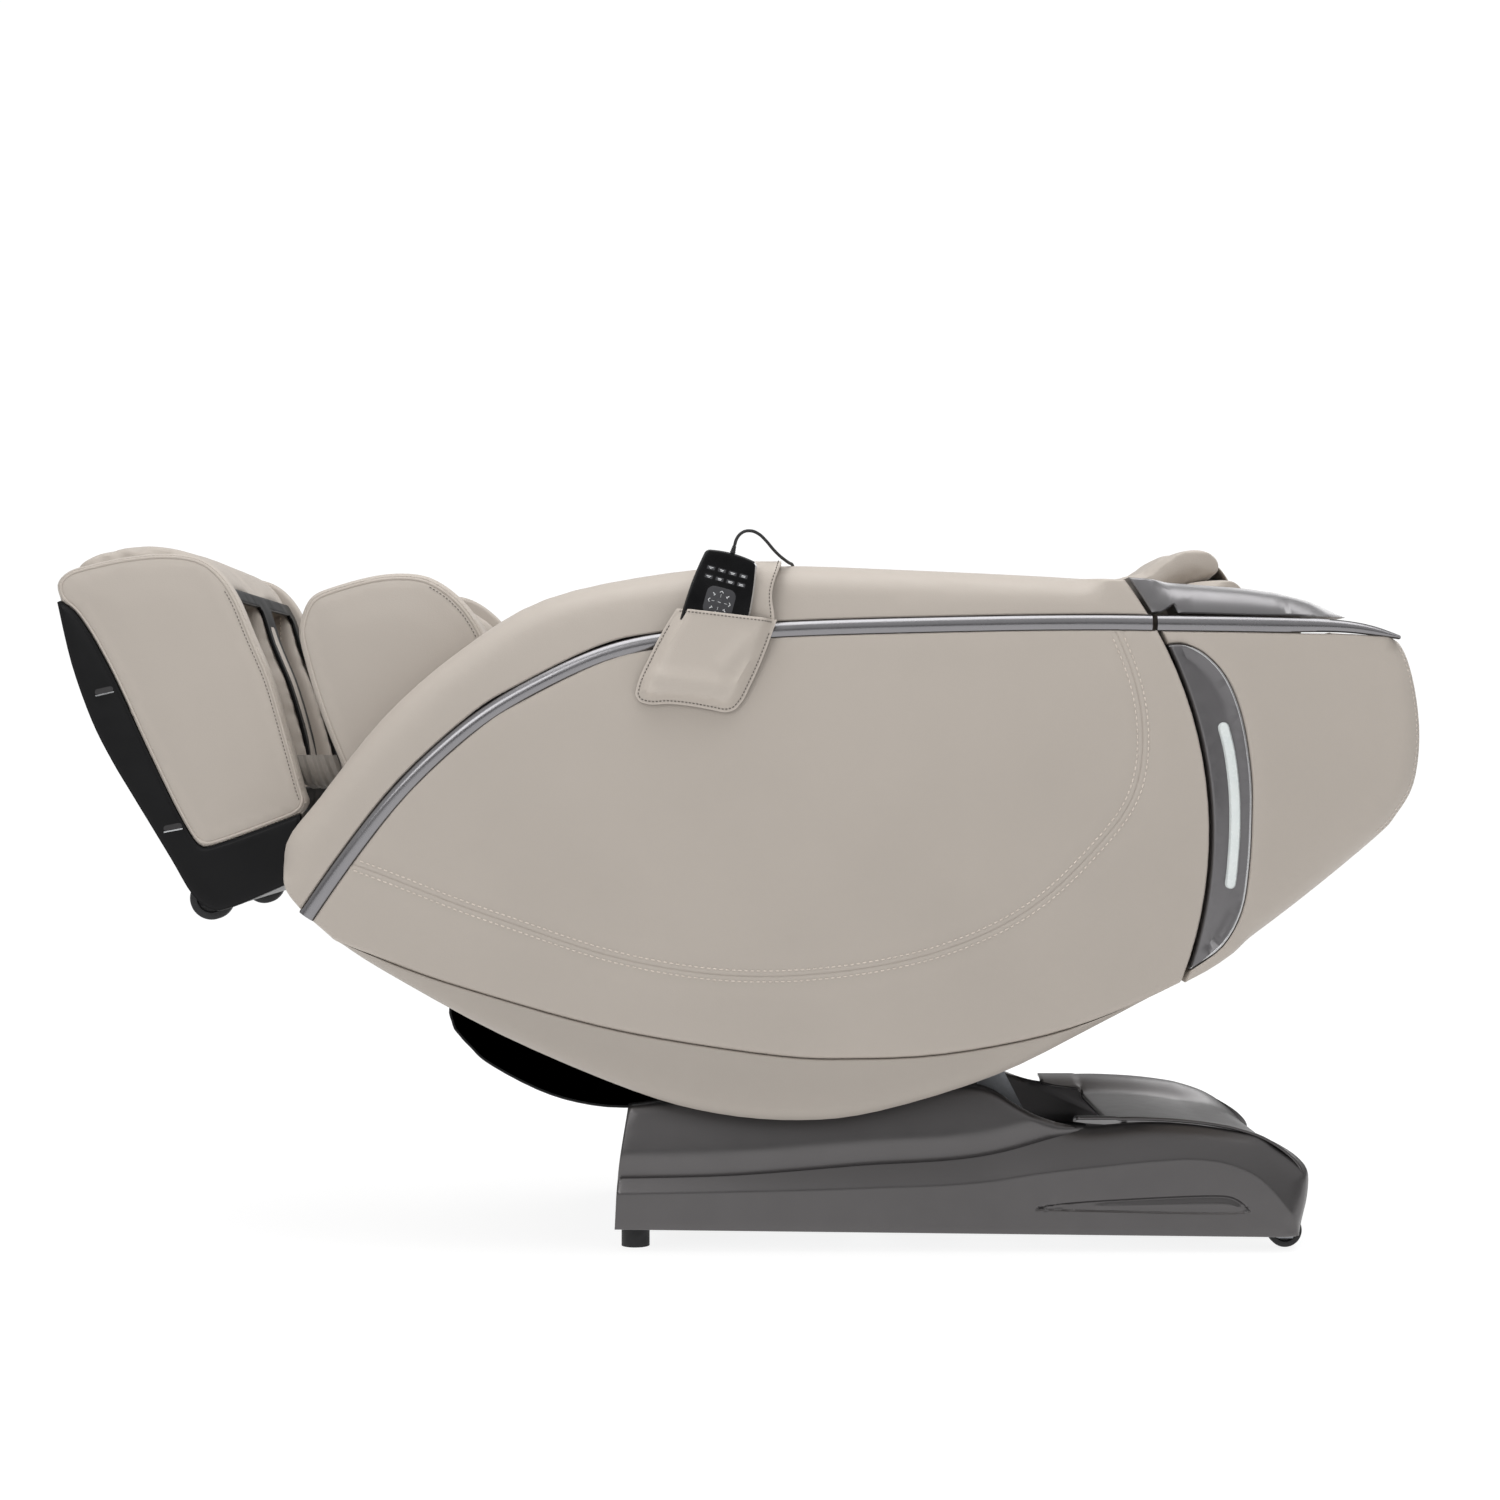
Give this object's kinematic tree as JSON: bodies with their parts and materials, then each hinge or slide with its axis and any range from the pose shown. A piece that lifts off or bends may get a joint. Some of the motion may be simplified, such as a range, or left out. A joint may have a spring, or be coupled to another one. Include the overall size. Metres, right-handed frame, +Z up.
{
  "type": "massage chair",
  "caption": "Reclining massage chair with curved leather side shells, sliding base, backrest with rollers, two-part leg rest and a corded handset in a side pocket.",
  "frame": {"origin": "on the floor under the middle of the chair's length and width", "axes": "+X from the feet to the head, +Z up, -Y is the sitter's left, where the handset hangs"},
  "size_m": [1.8872, 0.8194, 1.0012],
  "materials": {
    "leather": "grained, satin",
    "cushion_leather": "grained, soft satin",
    "gunmetal": "satin metallic paint",
    "trim_metal": "satin",
    "insert_plastic": "satin metallic",
    "lens": "frosted",
    "black_plastic": "satin",
    "dark_fabric": "woven",
    "gusset_fabric": "woven",
    "board": "painted board",
    "steel": "satin",
    "bright_steel": "turned",
    "rubber": "matte",
    "roller_plastic": "smooth",
    "key_silicone": "matte",
    "switch_red": "gloss"
  },
  "bodies": {
    "base": {"base_side_cover_left": "gunmetal", "base_side_cover_right": "gunmetal", "base_centre_covers": "gunmetal", "base_frame": "steel", "front_feet": "rubber", "glide_actuator": "black_plastic", "power_inlet": "black_plastic"},
    "power_rocker": {"power_switch": "switch_red"},
    "rear_wheel_l": {"rear_wheel_left": "rubber"},
    "rear_wheel_r": {"rear_wheel_right": "rubber"},
    "carriage": {"glide_carriage": "steel", "tilt_pin": "bright_steel"},
    "front_axle": {"front_roller_axle": "steel"},
    "rear_axle": {"rear_roller_axle": "steel"},
    "seat": {"seat_frame": "steel", "hinge_shafts": "bright_steel", "hinge_gearmotors": "black_plastic", "shell_boards": "board", "side_panel_left": "leather", "side_panel_right": "leather", "armrest_left": "leather", "armrest_right": "leather", "trim_strips": "trim_metal", "lower_skirts": "leather", "seat_cushion": "cushion_leather", "arm_airbags": "cushion_leather", "belly_cover": "dark_fabric", "air_pump_box": "black_plastic", "handset_pocket": "leather", "handset_cord": "rubber", "cord_gland": "rubber"},
    "backrest": {"back_frame": "steel", "back_cushion": "cushion_leather", "shoulder_pads": "cushion_leather", "back_side_panel_left": "leather", "back_side_panel_right": "leather", "shoulder_covers": "gunmetal", "back_trim_strips": "trim_metal", "light_trims": "insert_plastic", "light_lenses": "lens", "back_shell": "leather"},
    "pillow": {"headrest_pillow": "cushion_leather"},
    "roller_carriage": {"massage_carriage": "steel"},
    "roller_arms": {"massage_rollers": "roller_plastic"},
    "calf_rest": {"calf_frame": "black_plastic", "calf_side_left": "leather", "calf_side_right": "leather", "calf_pad": "cushion_leather"},
    "foot_rest": {"foot_shell": "black_plastic", "foot_side_left": "leather", "foot_side_right": "leather", "foot_pad": "cushion_leather", "foot_gusset": "gusset_fabric"},
    "sole_roller": {"foot_roller": "roller_plastic"},
    "leg_wheel_l": {"leg_wheel_left": "rubber"},
    "leg_wheel_r": {"leg_wheel_right": "rubber"},
    "handset": {"handset_body": "black_plastic", "handset_strain_relief": "rubber"},
    "keys": {"handset_keypad": "key_silicone"},
    "nav_key": {"handset_nav_pad": "key_silicone"}
  },
  "joints": [
    {"name": "glide", "type": "slide", "parent": "base", "child": "carriage", "axis": [1, 0, 0], "range_m": [0, 0.1]},
    {"name": "front_axle_roll", "type": "hinge", "parent": "carriage", "child": "front_axle", "pos_m": [0.1, 0, 0.0868], "axis": [0, 1, 0], "range_deg": [0, 350]},
    {"name": "rear_axle_roll", "type": "hinge", "parent": "carriage", "child": "rear_axle", "pos_m": [0.4, 0, 0.0868], "axis": [0, 1, 0], "range_deg": [0, 350]},
    {"name": "seat_tilt", "type": "hinge", "parent": "carriage", "child": "seat", "pos_m": [0.4, 0, 0.17], "axis": [0, -1, 0], "range_deg": [0, 8]},
    {"name": "recline", "type": "hinge", "parent": "seat", "child": "backrest", "pos_m": [0.05, 0, 0.588], "axis": [0, -1, 0], "range_deg": [0, 45]},
    {"name": "pillow_flip", "type": "hinge", "parent": "backrest", "child": "pillow", "pos_m": [0.71455, 0, 0.9637], "axis": [0, 1, 0], "range_deg": [0, 120]},
    {"name": "roller_carriage_travel", "type": "slide", "parent": "backrest", "child": "roller_carriage", "axis": [0.9304, 0, 0.3665], "range_m": [-0.2, 0.25]},
    {"name": "roller_arm_swing", "type": "hinge", "parent": "roller_carriage", "child": "roller_arms", "pos_m": [0.40429, 0, 0.72541], "axis": [0, -1, 0], "range_deg": [-15, 15]},
    {"name": "leg_lift", "type": "hinge", "parent": "seat", "child": "calf_rest", "pos_m": [-0.34, 0, 0.64], "axis": [0, -1, 0], "range_deg": [0, 50]},
    {"name": "foot_extend", "type": "slide", "parent": "calf_rest", "child": "foot_rest", "axis": [-0.8965, 0, -0.4431], "range_m": [0, 0.075]},
    {"name": "sole_roller_spin", "type": "hinge", "parent": "foot_rest", "child": "sole_roller", "pos_m": [-0.8, 0, 0.72], "axis": [0, 1, 0], "continuous": true},
    {"name": "leg_wheel_left_spin", "type": "hinge", "parent": "foot_rest", "child": "leg_wheel_l", "pos_m": [-0.742, -0.2, 0.492], "axis": [0, 1, 0], "continuous": true},
    {"name": "leg_wheel_right_spin", "type": "hinge", "parent": "foot_rest", "child": "leg_wheel_r", "pos_m": [-0.742, 0.2, 0.492], "axis": [0, 1, 0], "continuous": true},
    {"name": "rear_wheel_left_spin", "type": "hinge", "parent": "base", "child": "rear_wheel_l", "pos_m": [0.782, -0.229, 0.024], "axis": [0, 1, 0], "continuous": true},
    {"name": "rear_wheel_right_spin", "type": "hinge", "parent": "base", "child": "rear_wheel_r", "pos_m": [0.782, 0.229, 0.024], "axis": [0, 1, 0], "continuous": true},
    {"name": "power_rocker", "type": "hinge", "parent": "base", "child": "power_rocker", "pos_m": [0.802, 0.118, 0.08], "axis": [0, 1, 0], "range_deg": [-14, 0]},
    {"name": "handset_lift", "type": "slide", "parent": "seat", "child": "handset", "axis": [0.2588, 0, 0.9659], "range_m": [0, 0.14], "deforming": ["handset_cord"]},
    {"name": "keys_press", "type": "slide", "parent": "handset", "child": "keys", "axis": [0, 1, 0], "range_m": [0, 0.0008], "stiffness_N_per_m": 900},
    {"name": "nav_press", "type": "slide", "parent": "handset", "child": "nav_key", "axis": [0, 1, 0], "range_m": [0, 0.0008], "stiffness_N_per_m": 900}
  ],
  "couplings": [
    {"joint": "seat_tilt", "follows": "glide", "rad_per_m": 1.39},
    {"joint": "front_axle_roll", "follows": "glide", "rad_per_m": 60.6},
    {"joint": "rear_axle_roll", "follows": "glide", "rad_per_m": 60.6}
  ]
}
